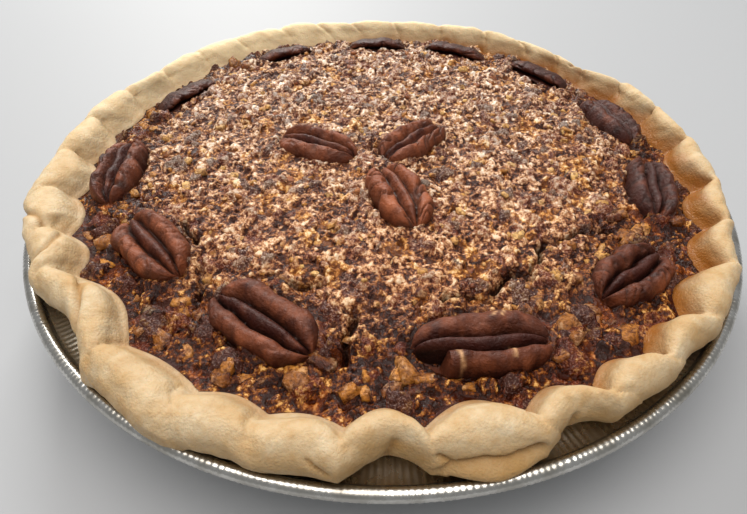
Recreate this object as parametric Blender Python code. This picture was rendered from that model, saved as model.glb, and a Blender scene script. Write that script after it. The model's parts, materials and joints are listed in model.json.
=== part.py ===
"""Pecan pie in its own foil tin: tin, fluted crust, chopped-pecan filling and fifteen pecan halves.

Metres, +Z up. The origin is the centre of the tin's underside, and -Y is the front of the pie.
A bearing is an angle in degrees about +Z, counted from +X, so the front lies at 270.
"""

import math

import bmesh
import bpy
from mathutils import Matrix, Vector, noise

MM = 0.001

# Foil tin: a nine-inch disposable pie tin.
RIM_RADIUS = 111.0 * MM
RIM_TOP = 30.0 * MM
BEAD_RADIUS = 1.8 * MM
FOIL = 0.5 * MM
BASE_RADIUS = 83.0 * MM
WALL_TOP_RADIUS = 98.0 * MM
FLANGE_DROP = 3.2 * MM
TIN_BEND = 1.6 * MM
TIN_STEPS = 56

# Pieces that touch keep this gap.
GAP = 0.4 * MM

# Crust: its shell and its fluted edge, whose inner face leans out from the syrup line to the crest.
SHELL = 4.6 * MM
CREST_HEIGHT = 39.8 * MM
BACK_RISE = 1.2 * MM
PINCH_DIP = 0.9 * MM
CREST_WAVE = 0.5 * MM
WAVES_ROUND = 7
INNER_LOW_RADIUS = 94.8 * MM
INNER_LEAN = 5.2 * MM
UNDERCUT_RADIUS = 105.8 * MM
FLUTE_STEPS = 4
FLUTE_ROUNDNESS = 0.8

# The flutes die out on the crust's inner face between these heights, below the syrup line.
FLUTE_FOOT = 24.0 * MM
FLUTE_HEAD = 33.0 * MM
WALL_FOOT_RADIUS = 93.0 * MM
WALL_FOOT_HEIGHT = 26.0 * MM

# For each pinch between two flutes: its bearing, the inner face's radius there below the syrup line, how far
# the flute after it bulges inwards, the edge's outer radius at the pinch, and how deep the edge is notched
# behind that flute, all but the bearing in mm.
PINCHES = (
    (5, 97.0, 4.0, 107.0, 1.5), (16, 97.0, 2.8, 106.3, 0.0), (27, 97.0, 2.6, 107.0, 0.8),
    (36, 94.4, 1.8, 101.0, 0.0), (44, 95.4, 2.2, 103.5, 0.3), (54, 96.2, 2.6, 105.4, 0.3),
    (64, 96.6, 2.6, 106.5, 0.3), (75, 96.8, 2.6, 106.5, 0.5), (87, 96.8, 2.4, 106.0, 0.3),
    (97, 96.8, 2.2, 105.8, 0.0), (106, 96.8, 2.2, 107.8, 0.0), (115, 97.0, 2.2, 110.0, 0.3),
    (126, 96.6, 2.2, 110.4, 0.5), (137, 96.2, 2.2, 109.8, 0.3), (147, 95.8, 2.2, 107.4, 3.2),
    (158, 95.0, 2.8, 107.8, 0.0), (169, 94.8, 3.4, 108.0, 0.5), (180, 94.8, 4.6, 108.0, 0.8),
    (191, 94.8, 3.6, 110.8, 0.0), (202, 94.8, 4.4, 108.5, 0.8), (213, 94.8, 6.4, 107.8, 4.2),
    (231, 94.8, 2.2, 108.0, 0.0), (245, 94.8, 2.4, 110.9, 0.6), (255, 94.8, 2.2, 109.5, 0.6),
    (265, 94.8, 5.2, 109.0, 4.4), (275, 94.8, 5.6, 106.2, 0.0), (288, 95.2, 4.4, 107.0, 3.2),
    (298, 96.4, 4.4, 106.8, 0.5), (308, 97.2, 4.6, 107.0, 1.4), (318, 97.4, 5.2, 108.0, 0.4),
    (330, 97.4, 4.6, 108.0, 1.6), (341, 97.2, 5.2, 106.2, 0.3), (352, 97.2, 5.8, 106.4, 0.3),
)

# Filling: a raised plateau that lies towards the back, and the shoulder that falls to the syrup line.
PLATEAU_HEIGHT = 36.4 * MM
SYRUP_LINE = 31.4 * MM
PLATEAU_CENTRE = Vector((0.0, 12.0 * MM, 0.0))
SHOULDER_INNER = 61.0 * MM
SHOULDER_OUTER = 97.0 * MM
SYRUP_BAND = 9.0 * MM
LUMP_HEIGHT = 0.9 * MM
LUMP_SIZE = 9.0 * MM
FILLING_INSET = 4.4 * MM
SYRUP_RISE_INSET = 3.0 * MM
TOP_RINGS = ((66, 84.0), (66, 74.0), (66, 63.0), (66, 50.0), (33, 36.0), (33, 24.0), (33, 12.0))

# Pecan halves: bearing and distance from the centre, heading of the long axis, length, width, and how deep
# the belly lies below the filling's top.
RING_NUTS = (
    (150, 86.8, 57, 29, 15, 4.6), (118, 88.2, 26, 26, 14, 5.0), (91, 87.4, 0, 26, 14, 5.0),
    (68, 86.8, -21, 28, 14, 4.6), (43, 87.4, -47, 29, 15, 4.4), (17.5, 87.4, -72, 30, 16, 4.6),
    (350.5, 85.6, 78, 30, 16, 3.8), (322, 84.4, 38, 27, 17, 3.6), (287, 79.0, 5, 35, 18, 3.4),
    (247, 75.5, -36, 32, 18, 3.4), (214, 77.0, -48, 30, 18, 3.4), (185, 84.4, -88, 32, 16, 3.6),
)
MIDDLE_NUTS = ((170, 22.0, -22, 29, 16, 5.4), (33, 12.4, 46, 29, 16, 4.6), (281.5, 23.8, -71, 31, 18, 4.2))
NUT_HEIGHT = 8.6 * MM
NUT_STATIONS = 6
NUT_BLUNTNESS = 0.85
SLOPE_REACH = 7.0 * MM

# A pecan half's outline across its width, with grooves on top: places in half-widths, heights in nut heights.
NUT_TOP = ((-1.0, 0.0), (-0.70, 0.86), (-0.36, 0.50), (0.0, 0.90), (0.36, 0.50), (0.70, 0.86), (1.0, 0.0))
NUT_BELLY = 0.46
NUT_UNDERSIDE = ((0.6, -0.34), (0.0, -NUT_BELLY), (-0.6, -0.34))
POCKET_TOP = ((-1.0, 0.0), (-0.70, 0.86), (-0.36, 1.0), (0.36, 1.0), (0.70, 0.86), (1.0, 0.0))

MATERIALS = {
    "foil": ((0.78, 0.78, 0.76), 0.3, 1.0),
    "pastry": ((0.72, 0.55, 0.33), 0.7, 0.0),
    "nut_filling": ((0.26, 0.12, 0.05), 0.45, 0.0),
    "pecan_skin": ((0.13, 0.05, 0.035), 0.5, 0.0),
}


def clear_scene():
    for obj in list(bpy.data.objects):
        bpy.data.objects.remove(obj)


def material(name):
    """The Principled material of that name."""
    made = bpy.data.materials.get(name)
    if made is None:
        colour, roughness, metallic = MATERIALS[name]
        made = bpy.data.materials.new(name)
        made.use_nodes = True
        shader = made.node_tree.nodes["Principled BSDF"]
        shader.inputs["Base Color"].default_value = (*colour, 1.0)
        shader.inputs["Roughness"].default_value = roughness
        shader.inputs["Metallic"].default_value = metallic
    return made


def finished(name, bm, material_name):
    """An object made from bm, smooth shaded, with its normals outwards."""
    bmesh.ops.remove_doubles(bm, verts=bm.verts, dist=1e-6)
    bmesh.ops.recalc_face_normals(bm, faces=bm.faces)
    mesh = bpy.data.meshes.new(name)
    bm.to_mesh(mesh)
    bm.free()
    mesh.materials.append(material(material_name))
    mesh.shade_smooth()
    mesh.set_sharp_from_angle(angle=math.radians(50))
    obj = bpy.data.objects.new(name, mesh)
    bpy.context.scene.collection.objects.link(obj)
    return obj


def smoothstep(low, high, value):
    t = min(max((value - low) / (high - low), 0.0), 1.0)
    return t * t * (3.0 - 2.0 * t)


def turned(section, steps):
    """A bmesh turned from a section of (radius, height) points, its vertices tagged with their row."""
    bm = bmesh.new()
    row_tag = bm.verts.layers.int.new("row")
    points = []
    for row, (radius, height) in enumerate(section):
        vertex = bm.verts.new((radius, 0.0, height))
        vertex[row_tag] = row
        points.append(vertex)
    edges = [bm.edges.new(pair) for pair in zip(points, points[1:])]
    bmesh.ops.spin(bm, geom=points + edges, cent=(0, 0, 0), axis=(0, 0, 1), angle=math.tau, steps=steps)
    bmesh.ops.remove_doubles(bm, verts=bm.verts, dist=1e-6)
    return bm, row_tag


def arc(centre, radius, start, end, count):
    """Points on an arc in the section plane, angles in degrees."""
    angles = [math.radians(start + (end - start) * i / (count - 1)) for i in range(count)]
    return [(centre[0] + radius * math.cos(a), centre[1] + radius * math.sin(a)) for a in angles]


def build_tin():
    """Foil tin with a sloping wall, a flange and a rolled bead."""
    bead = (RIM_RADIUS - BEAD_RADIUS, RIM_TOP - BEAD_RADIUS)
    flange = RIM_TOP - FLANGE_DROP
    bend = TIN_BEND
    section = [(0.0, 0.0), (BASE_RADIUS, 0.0), (BASE_RADIUS + bend, bend)]
    section += [(WALL_TOP_RADIUS, flange - bend), (WALL_TOP_RADIUS + bend, flange - FOIL)]
    section += arc(bead, BEAD_RADIUS, -135, 180, 8)
    section += [(WALL_TOP_RADIUS + bend, flange), (WALL_TOP_RADIUS - FOIL, flange - bend + FOIL)]
    section += [(BASE_RADIUS + bend - FOIL, bend + FOIL), (BASE_RADIUS - FOIL, FOIL), (0.0, FOIL)]
    bm, _ = turned(section, TIN_STEPS)
    return finished("tin", bm, "foil")


def flute_at(step):
    """Bearing in degrees, share of the way across its flute, and inward bulge in metres at an edge step."""
    index, part = divmod(step, FLUTE_STEPS)
    bearing, _, bulge = PINCHES[index % len(PINCHES)][:3]
    following = PINCHES[(index + 1) % len(PINCHES)][0]
    width = (following - bearing) % 360
    share = part / FLUTE_STEPS
    return bearing + width * share, share, bulge * MM


EDGE_STEPS = FLUTE_STEPS * len(PINCHES)


def inner_radius(step, height):
    """Radius of the crust's inner face, which leans inwards and flattens out down to the syrup line."""
    _, share, bulge = flute_at(step)
    index = step // FLUTE_STEPS
    start, end = PINCHES[index % len(PINCHES)][1], PINCHES[(index + 1) % len(PINCHES)][1]
    wall = (start + (end - start) * share) * MM
    wall += INNER_LEAN * smoothstep(WALL_FOOT_HEIGHT, CREST_HEIGHT, height)
    reach = bulge * smoothstep(FLUTE_FOOT, FLUTE_HEAD, height)
    return wall - reach * math.sin(math.pi * share) ** FLUTE_ROUNDNESS


def outer_radius(step):
    """Radius of the crust's outer edge, notched behind the flutes that are pushed in furthest."""
    index, part = divmod(step, FLUTE_STEPS)
    start, notch = PINCHES[index % len(PINCHES)][3:]
    end = PINCHES[(index + 1) % len(PINCHES)][3]
    share = part / FLUTE_STEPS
    return (start + (end - start) * share - notch * math.sin(math.pi * share)) * MM


def crest_height(step):
    """Height of the crest: the back stands a little higher, and each pinch dips."""
    bearing, share, _ = flute_at(step)
    back = BACK_RISE * max(0.0, math.sin(math.radians(bearing)))
    dip = PINCH_DIP * (1.0 - math.sin(math.pi * share))
    return CREST_HEIGHT + back - dip + CREST_WAVE * math.sin(math.radians(WAVES_ROUND * bearing))


def crust_section(step):
    """The crust's (radius, height) points at one step, from under its middle, round the edge, to its top."""
    flange = RIM_TOP - FLANGE_DROP + GAP
    inner_high = inner_radius(step, CREST_HEIGHT)
    outer, top = outer_radius(step), crest_height(step)
    width, height = outer - inner_high, top - flange
    return (
        (0.0, FOIL + GAP),
        (BASE_RADIUS - 3 * GAP, FOIL + GAP),
        (WALL_TOP_RADIUS - FOIL - 2 * GAP, flange - 2 * GAP),
        (WALL_TOP_RADIUS + TIN_BEND + 2 * GAP, flange + GAP),
        (min(outer - 0.34 * width, UNDERCUT_RADIUS), flange + 4 * GAP),
        (outer, flange + 0.46 * height),
        (outer - 0.16 * width, flange + 0.82 * height),
        (inner_high + 0.46 * width, top),
        (inner_high + 0.10 * width, top - 4 * GAP),
        (inner_high - 0.05 * width, 0.5 * (top + SYRUP_LINE)),
        (inner_radius(step, SYRUP_LINE), SYRUP_LINE + GAP),
        (WALL_FOOT_RADIUS, WALL_FOOT_HEIGHT),
        (BASE_RADIUS - SHELL, FOIL + GAP + SHELL),
        (0.0, FOIL + GAP + SHELL),
    )


def build_crust():
    """Pastry shell with a fluted edge, closed and as thick as its rolled-out sheet."""
    sections = [crust_section(step) for step in range(EDGE_STEPS)]
    bm, row_tag = turned(sections[0], EDGE_STEPS)
    for vertex in bm.verts:
        turn = math.atan2(vertex.co.y, vertex.co.x) % math.tau
        step = round(turn / math.tau * EDGE_STEPS) % EDGE_STEPS
        radius, height = sections[step][vertex[row_tag]]
        bearing = math.radians(flute_at(step)[0])
        vertex.co = (radius * math.cos(bearing), radius * math.sin(bearing), height)
    return finished("crust", bm, "pastry")


def surface_height(x, y, edge_radius=INNER_LOW_RADIUS):
    """Height of the filling's top at a place: plateau, shoulder and lumps."""
    place = Vector((x, y, 0.0))
    from_edge = edge_radius - place.length
    fall = 1.0 - smoothstep(SHOULDER_INNER, SHOULDER_OUTER, (place - PLATEAU_CENTRE).length)
    fall *= smoothstep(0.0, SYRUP_BAND, from_edge)
    lump = LUMP_HEIGHT * noise.noise(place / LUMP_SIZE) * smoothstep(0.0, SYRUP_BAND, from_edge)
    return SYRUP_LINE + (PLATEAU_HEIGHT - SYRUP_LINE) * fall + lump


def ring(bm, places):
    """The edges of a closed ring of vertices at these places."""
    made = bmesh.ops.create_circle(bm, cap_ends=False, radius=1.0, segments=len(places))["verts"]
    for vertex, place in zip(made, places):
        vertex.co = place
    return list({edge for vertex in made for edge in vertex.link_edges})


def at(bearing, radius, height):
    """The point at a bearing in degrees."""
    turn = math.radians(bearing)
    return Vector((radius * math.cos(turn), radius * math.sin(turn), height))


def round_ring(steps, radius, height):
    """Places on a plain circle, in step with the crust's edge."""
    return [at(flute_at(step)[0], radius, height) for step in steps]


def syrup_ring():
    """Places just inside the crust's inner face, following its flutes."""
    steps = range(EDGE_STEPS)
    return [at(flute_at(step)[0], inner_radius(step, SYRUP_LINE) - 2 * GAP, SYRUP_LINE) for step in steps]


def rising_ring():
    """Places a little way in from the crust, where the filling starts to rise."""
    places = []
    for step in range(EDGE_STEPS):
        edge = inner_radius(step, SYRUP_LINE)
        place = at(flute_at(step)[0], edge - GAP - SYRUP_RISE_INSET, 0.0)
        places.append(Vector((place.x, place.y, surface_height(place.x, place.y, edge))))
    return places


def top_ring(count, radius):
    """Places on the filling's top at one radius."""
    places = [at(PINCHES[0][0] + 360 * step / count, radius, 0.0) for step in range(count)]
    return [Vector((place.x, place.y, surface_height(place.x, place.y))) for place in places]


def build_filling():
    """Chopped-pecan filling out to the crust, before the pockets for the pecan halves are cut."""
    bm = bmesh.new()
    steps = range(EDGE_STEPS)
    floor = FOIL + SHELL + 2 * GAP
    rings = [
        ring(bm, round_ring(steps[::FLUTE_STEPS], BASE_RADIUS - SHELL - 3 * GAP, floor)),
        ring(bm, round_ring(steps, WALL_FOOT_RADIUS - FILLING_INSET, WALL_FOOT_HEIGHT)),
        ring(bm, syrup_ring()),
        ring(bm, rising_ring()),
    ]
    rings += [ring(bm, top_ring(count, radius * MM)) for count, radius in TOP_RINGS]
    for lower, upper in zip(rings, rings[1:]):
        bmesh.ops.bridge_loops(bm, edges=lower + upper)
    bmesh.ops.contextual_create(bm, geom=rings[0])
    bmesh.ops.contextual_create(bm, geom=rings[-1])
    bmesh.ops.triangulate(bm, faces=[face for face in bm.faces if len(face.verts) > 4])
    return finished("filling", bm, "nut_filling")


def nut_ring(bm, outline, along, length, width, height):
    """One outline of a pecan half, at a share of the way from its middle (0) to a tip (-1 or 1)."""
    swell = math.sqrt(1.0 - along * along) ** NUT_BLUNTNESS
    x, half = along * length / 2, width / 2 * swell
    return [bm.verts.new((x, across * half, up * height * swell)) for across, up in outline]


def nut_body(bm, length, width, height, top):
    """A closed pecan-half shape about the origin, lying along X."""
    outline = top + NUT_UNDERSIDE
    turns = [math.pi * (station + 1) / (NUT_STATIONS + 1) for station in range(NUT_STATIONS)]
    rings = [nut_ring(bm, outline, -math.cos(turn), length, width, height) for turn in turns]
    for first, second in zip(rings, rings[1:]):
        for k, (a, b) in enumerate(zip(first, second)):
            bm.faces.new((first[k - 1], a, b, second[k - 1]))
    for side, last in ((-1, rings[0]), (1, rings[-1])):
        tip = bm.verts.new((side * length / 2, 0.0, 0.0))
        for k, corner in enumerate(last):
            bm.faces.new((last[k - 1], corner, tip))


def nut_seat(bearing, distance, heading, sunk):
    """Matrix that lays a pecan half in the filling, sunk by some mm and tilted with the slope."""
    x, y, _ = at(bearing, distance * MM, 0.0)
    reach = SLOPE_REACH
    slope_x = (surface_height(x + reach, y) - surface_height(x - reach, y)) / (2 * reach)
    slope_y = (surface_height(x, y + reach) - surface_height(x, y - reach)) / (2 * reach)
    tilt = Vector((0, 0, 1)).rotation_difference(Vector((-slope_x, -slope_y, 1.0))).to_matrix().to_4x4()
    base = surface_height(x, y) + NUT_HEIGHT * NUT_BELLY - sunk * MM
    return Matrix.Translation((x, y, base)) @ tilt @ Matrix.Rotation(math.radians(heading), 4, "Z")


def build_nut(name, filling, bearing, distance, heading, length, width, sunk):
    """One pecan half, and the cutter that makes its pocket in the filling."""
    seat = nut_seat(bearing, distance, heading, sunk)
    bm = bmesh.new()
    nut_body(bm, length * MM, width * MM, NUT_HEIGHT, NUT_TOP)
    nut = finished(name, bm, "pecan_skin")
    nut.matrix_world = seat
    bm = bmesh.new()
    nut_body(bm, length * MM + 4 * GAP, width * MM + 4 * GAP, NUT_HEIGHT + 4 * GAP, POCKET_TOP)
    cutter = finished(name + "_pocket", bm, "pecan_skin")
    cutter.matrix_world = seat
    cutter.hide_render = True
    cutter.display_type = "WIRE"
    pocket = filling.modifiers.new(name, "BOOLEAN")
    pocket.operation = "DIFFERENCE"
    pocket.solver = "EXACT"
    pocket.object = cutter


def main():
    clear_scene()
    build_tin()
    build_crust()
    filling = build_filling()
    for number, place in enumerate(RING_NUTS, start=1):
        build_nut(f"pecan_ring_{number:02d}", filling, *place)
    for number, place in enumerate(MIDDLE_NUTS, start=1):
        build_nut(f"pecan_middle_{number}", filling, *place)


main()
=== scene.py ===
"""Pecan pie in its foil tin: pleated tin, fluted pastry, nut filling with syrup, and fifteen pecan halves.

Metres, +Z up. The origin is the centre of the tin's underside, and -Y is the front of the pie.
A bearing is an angle in degrees about +Z, counted from +X, so the front lies at 270.
"""

import json
import logging
import math
from collections.abc import Callable
from dataclasses import dataclass
from enum import Enum

import bpy
import numpy as np
from mathutils import Matrix, Vector

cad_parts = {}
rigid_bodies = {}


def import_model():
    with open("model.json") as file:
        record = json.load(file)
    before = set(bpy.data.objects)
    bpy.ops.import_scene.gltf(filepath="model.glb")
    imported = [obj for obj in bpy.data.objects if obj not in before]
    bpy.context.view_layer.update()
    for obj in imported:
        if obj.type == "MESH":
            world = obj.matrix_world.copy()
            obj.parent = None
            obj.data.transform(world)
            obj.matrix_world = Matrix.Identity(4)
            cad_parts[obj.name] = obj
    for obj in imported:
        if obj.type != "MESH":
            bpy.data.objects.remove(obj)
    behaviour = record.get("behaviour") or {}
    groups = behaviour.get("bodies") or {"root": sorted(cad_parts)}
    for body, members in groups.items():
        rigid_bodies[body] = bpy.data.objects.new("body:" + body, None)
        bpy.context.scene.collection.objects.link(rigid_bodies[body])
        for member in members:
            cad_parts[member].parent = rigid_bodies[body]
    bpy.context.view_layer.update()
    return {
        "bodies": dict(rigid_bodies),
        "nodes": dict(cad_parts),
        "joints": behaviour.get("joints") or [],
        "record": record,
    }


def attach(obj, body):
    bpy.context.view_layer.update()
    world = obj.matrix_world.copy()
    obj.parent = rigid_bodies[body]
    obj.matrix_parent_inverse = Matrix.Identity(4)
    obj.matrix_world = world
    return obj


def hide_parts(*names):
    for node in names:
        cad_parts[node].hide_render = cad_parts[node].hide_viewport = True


LOG = logging.getLogger("pecan_pie")
MM = 0.001
BODY = "root"
MERGE = 0.001 * MM
Field = np.ndarray
Grains = tuple[tuple[float, float, float], ...]
Stops = tuple[tuple[float, str], ...]


# ---------------------------------------------------------------- numbers and noise


def step_up(low: float, high: float, value: Field) -> Field:
    """A smooth rise from 0 at low to 1 at high.

    Args:
        low: Where the rise starts.
        high: Where it ends.
        value: The numbers to place on it.

    Returns:
        A share from 0 to 1 for each number.
    """
    share = np.clip((value - low) / (high - low), 0.0, 1.0)
    return share * share * (3.0 - 2.0 * share)


def bell(value: Field, width: float) -> Field:
    """A bump of height 1 at 0 that has nearly gone at twice the width."""
    return np.exp(-((value / width) ** 2))


def turn_between(bearing: Field, middle: float) -> Field:
    """Signed angle in degrees from a middle bearing, from -180 to 180."""
    return (bearing - middle + 180.0) % 360.0 - 180.0


def lattice(column: Field, row: Field, seed: int) -> Field:
    """A repeatable number from 0 to 1 for each whole-numbered place.

    Args:
        column: First whole number.
        row: Second whole number.
        seed: Which set of numbers.

    Returns:
        One number for each place.
    """
    mixed = (column * 73856093) ^ (row * 19349663) ^ (seed * 83492791)
    mixed = ((mixed ^ (mixed >> 13)) * 1274126177) & 0x7FFFFFFF
    return ((mixed ^ (mixed >> 16)) & 0xFFFFF) / 0xFFFFF


def clouds(x: Field, y: Field, size: float, seed: int) -> Field:
    """Smooth noise from -1 to 1.

    Args:
        x: First coordinate.
        y: Second coordinate.
        size: Distance over which the noise changes, in the coordinates' unit.
        seed: Which noise.

    Returns:
        One number for each place.
    """
    u, v = x / size + 0.31 * y / size, y / size - 0.31 * x / size
    column, row = np.floor(u).astype(np.int64), np.floor(v).astype(np.int64)
    u, v = u - column, v - row
    u, v = u * u * (3.0 - 2.0 * u), v * v * (3.0 - 2.0 * v)
    near = lattice(column, row, seed) * (1 - u) + lattice(column + 1, row, seed) * u
    far = lattice(column, row + 1, seed) * (1 - u) + lattice(column + 1, row + 1, seed) * u
    return 2.0 * (near * (1 - v) + far * v) - 1.0


def rough(x: Field, y: Field, size: float, seed: int, octaves: int = 3) -> Field:
    """Noise from about -1 to 1 with finer noise on it, each octave half the size and strength of the last.

    Args:
        x: First coordinate.
        y: Second coordinate.
        size: Distance over which the coarsest noise changes.
        seed: Which noise.
        octaves: How many noises are added.

    Returns:
        One number for each place.
    """
    layers = [clouds(x, y, size / 2**k, seed + k) / 2**k for k in range(octaves)]
    return sum(layers) / 1.5


def away_from_line(x: Field, y: Field, line: tuple[tuple[float, float], ...]) -> Field:
    """Distance from each place to a line through the given corners.

    Args:
        x: First coordinate.
        y: Second coordinate.
        line: The corners.

    Returns:
        One distance for each place.
    """
    nearest = np.full(x.shape, np.inf)
    for (ax, ay), (bx, by) in zip(line, line[1:]):
        length = (bx - ax) ** 2 + (by - ay) ** 2
        share = np.clip(((x - ax) * (bx - ax) + (y - ay) * (by - ay)) / length, 0.0, 1.0)
        nearest = np.minimum(nearest, np.hypot(x - ax - share * (bx - ax), y - ay - share * (by - ay)))
    return nearest


def cells(x: Field, y: Field, size: float, seed: int) -> tuple[Field, Field, Field]:
    """Scattered points, one to a cell, as chopped pieces lie.

    Args:
        x: First coordinate.
        y: Second coordinate.
        size: Mean distance between points, in the coordinates' unit.
        seed: Which points.

    Returns:
        Distances to the nearest point and to the next, in sizes, and the nearest one's number from 0 to 1.
    """
    u, v = x / size, y / size
    column, row = np.floor(u).astype(np.int64), np.floor(v).astype(np.int64)
    first, second, tag = np.full(u.shape, 9.0), np.full(u.shape, 9.0), np.zeros(u.shape)
    for i in (-1, 0, 1):
        for j in (-1, 0, 1):
            c, r = column + i, row + j
            away = np.hypot(c + lattice(c, r, seed) - u, r + lattice(c, r, seed + 7) - v)
            nearer = away < first
            second = np.where(nearer, first, np.minimum(second, away))
            tag = np.where(nearer, lattice(c, r, seed + 13), tag)
            first = np.where(nearer, away, first)
    return first, second, tag


# ---------------------------------------------------------------- mesh work


def clear_selection() -> None:
    """Leaves nothing selected, because the frame's solids are selected once loaded."""
    bpy.ops.object.select_all(action="DESELECT")


def made(name: str) -> bpy.types.Object:
    """The object just added, with its name."""
    piece = bpy.context.object
    piece.name = piece.data.name = name
    return piece


def in_edit_mode(piece: bpy.types.Object, *steps: Callable[[], object]) -> None:
    """Runs edit-mode operators on all of a piece.

    Args:
        piece: The mesh object.
        steps: Calls that run one operator each.
    """
    bpy.context.view_layer.objects.active = piece
    bpy.ops.object.mode_set(mode="EDIT")
    bpy.ops.mesh.select_all(action="SELECT")
    for step in steps:
        step()
    bpy.ops.object.mode_set(mode="OBJECT")


def points_of(piece: bpy.types.Object) -> Field:
    """A piece's vertices as rows of x, y and z.

    Args:
        piece: The mesh object.

    Returns:
        Array of shape (vertices, 3).
    """
    flat = np.empty(len(piece.data.vertices) * 3, np.float32)
    piece.data.vertices.foreach_get("co", flat)
    return flat.reshape(-1, 3).astype(np.float64)


def move_points(piece: bpy.types.Object, points: Field) -> None:
    """Moves a piece's vertices to these places."""
    piece.data.vertices.foreach_set("co", points.astype(np.float32).ravel())
    piece.data.update()


def note(piece: bpy.types.Object, name: str, values: Field) -> None:
    """Stores a number for each vertex, for the finish to read."""
    layer = piece.data.attributes.new(name, "FLOAT", "POINT")
    layer.data.foreach_set("value", values.astype(np.float32))


def closed_up(piece: bpy.types.Object) -> None:
    """Merges seams and poles and turns every face outwards.

    Args:
        piece: The mesh object.
    """
    in_edit_mode(
        piece,
        lambda: bpy.ops.mesh.remove_doubles(threshold=MERGE),
        lambda: bpy.ops.mesh.normals_make_consistent(inside=False),
    )


def settle(
    piece: bpy.types.Object, finish: bpy.types.Material, slot: str, *nodes: str, angle: float = 60.0
) -> None:
    """Dresses a finished piece and fixes it to the pie.

    Args:
        piece: The finished mesh object.
        finish: Its material.
        slot: The record's material slot; not used.
        nodes: The frame's solids that it stands for.
        angle: Edges sharper than this stay sharp, in degrees.
    """
    piece.data.materials.clear()
    piece.data.materials.append(finish)
    clear_selection()
    piece.select_set(True)
    bpy.context.view_layer.objects.active = piece
    bpy.ops.object.shade_smooth_by_angle(angle=math.radians(angle))
    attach(piece, BODY)
    if nodes:
        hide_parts(*nodes)
    LOG.info("%s: %d triangles", piece.name, sum(len(face.vertices) - 2 for face in piece.data.polygons))


def sleeve(name: str, steps: int, rows: int) -> tuple[bpy.types.Object, Field, Field]:
    """An open tube with evenly spaced rings, to be shaped ring by ring.

    Args:
        name: The piece's name.
        steps: Points round each ring.
        rows: Number of rings.

    Returns:
        The piece, and each vertex's bearing in degrees and its ring number.
    """
    clear_selection()
    depth = float(rows - 1)
    bpy.ops.mesh.primitive_cylinder_add(vertices=steps, radius=1.0, depth=depth, end_fill_type="NOTHING")
    piece = made(name)
    bpy.ops.object.mode_set(mode="EDIT")
    bpy.ops.mesh.select_mode(type="EDGE")
    bpy.ops.mesh.select_all(action="DESELECT")
    bpy.ops.object.mode_set(mode="OBJECT")
    for edge in piece.data.edges:
        low, high = (piece.data.vertices[index].co.z for index in edge.vertices)
        edge.select = abs(high - low) > 0.5
    bpy.ops.object.mode_set(mode="EDIT")
    bpy.ops.mesh.subdivide(number_cuts=rows - 2)
    bpy.ops.mesh.select_mode(type="VERT")
    bpy.ops.object.mode_set(mode="OBJECT")
    points = points_of(piece)
    bearing = np.degrees(np.arctan2(points[:, 1], points[:, 0])) % 360.0
    return piece, bearing, np.round(points[:, 2] + (rows - 1) / 2).astype(np.int64)


def curve_through(corners: Field, count: int) -> Field:
    """Evenly spread points on a smooth curve through corners.

    Args:
        corners: Array of shape (corners, ...), the places that the curve passes through.
        count: Number of points on it.

    Returns:
        Array of shape (count, ...).
    """
    last = len(corners) - 1
    reach = np.linspace(0.0, last, count)
    index = np.minimum(reach.astype(int), last - 1)
    share = (reach - index).reshape(-1, *([1] * (corners.ndim - 1)))
    before, start = corners[np.maximum(index - 1, 0)], corners[index]
    end, after = corners[index + 1], corners[np.minimum(index + 2, last)]
    return 0.5 * (
        2 * start + (end - before) * share + (2 * before - 5 * start + 4 * end - after) * share**2
        + (3 * start - before - 3 * end + after) * share**3
    )


# ---------------------------------------------------------------- finishes


# The colour sockets of a Mix node, whose three kinds of socket share their names.
SHARE, FIRST, SECOND = 0, 6, 7
MIXED = {"output": 2, "data_type": "RGBA"}
TINTED = MIXED | {"blend_type": "MULTIPLY"}


def linear(colour: str) -> tuple[float, float, float, float]:
    """A shader colour from an sRGB hex value such as "#D6BE96".

    Args:
        colour: The hex value.

    Returns:
        Linear red, green and blue, and full opacity.
    """
    shares = [int(colour[k : k + 2], 16) / 255 for k in (1, 3, 5)]
    red, green, blue = (s / 12.92 if s <= 0.04045 else ((s + 0.055) / 1.055) ** 2.4 for s in shares)
    return red, green, blue, 1.0


def add_node(
    tree: bpy.types.NodeTree, kind: str, inputs: dict[object, object], output: object = 0, **settings: object
) -> bpy.types.NodeSocket:
    """Adds one shader node.

    Args:
        tree: The material's node tree.
        kind: The node's type name, without the "ShaderNode" that it starts with.
        inputs: What goes into each input, by name or number: another node's output, a value or a hex colour.
        output: The name or number of the output that is wanted.
        settings: The node's own settings. A ramp's stops are pairs of place and hex colour.

    Returns:
        The output that is wanted.
    """
    node = tree.nodes.new("ShaderNode" + kind)
    for key, value in settings.items():
        if key == "stops":
            marks = node.color_ramp.elements
            while len(marks) < len(value):
                marks.new(0.5)
            for mark, (place, colour) in zip(marks, value):
                mark.position, mark.color = place, linear(colour)
        else:
            setattr(node, key, value)
    for key, value in inputs.items():
        if isinstance(value, bpy.types.NodeSocket):
            tree.links.new(value, node.inputs[key])
        else:
            node.inputs[key].default_value = linear(value) if isinstance(value, str) else value
    return node.outputs[output]


@dataclass(frozen=True)
class Look:
    """What a pattern gives the shader. What it leaves out keeps the finish's plain value.

    Attributes:
        colour: Colour of the surface.
        gloss: Its roughness.
        height: Its fine relief, from 0 to 1.
        depth: How deep that relief is, in metres.
        specular: Its specular level.
    """

    colour: object = None
    gloss: object = None
    height: object = None
    depth: float = 0.0
    specular: object = None


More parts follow.
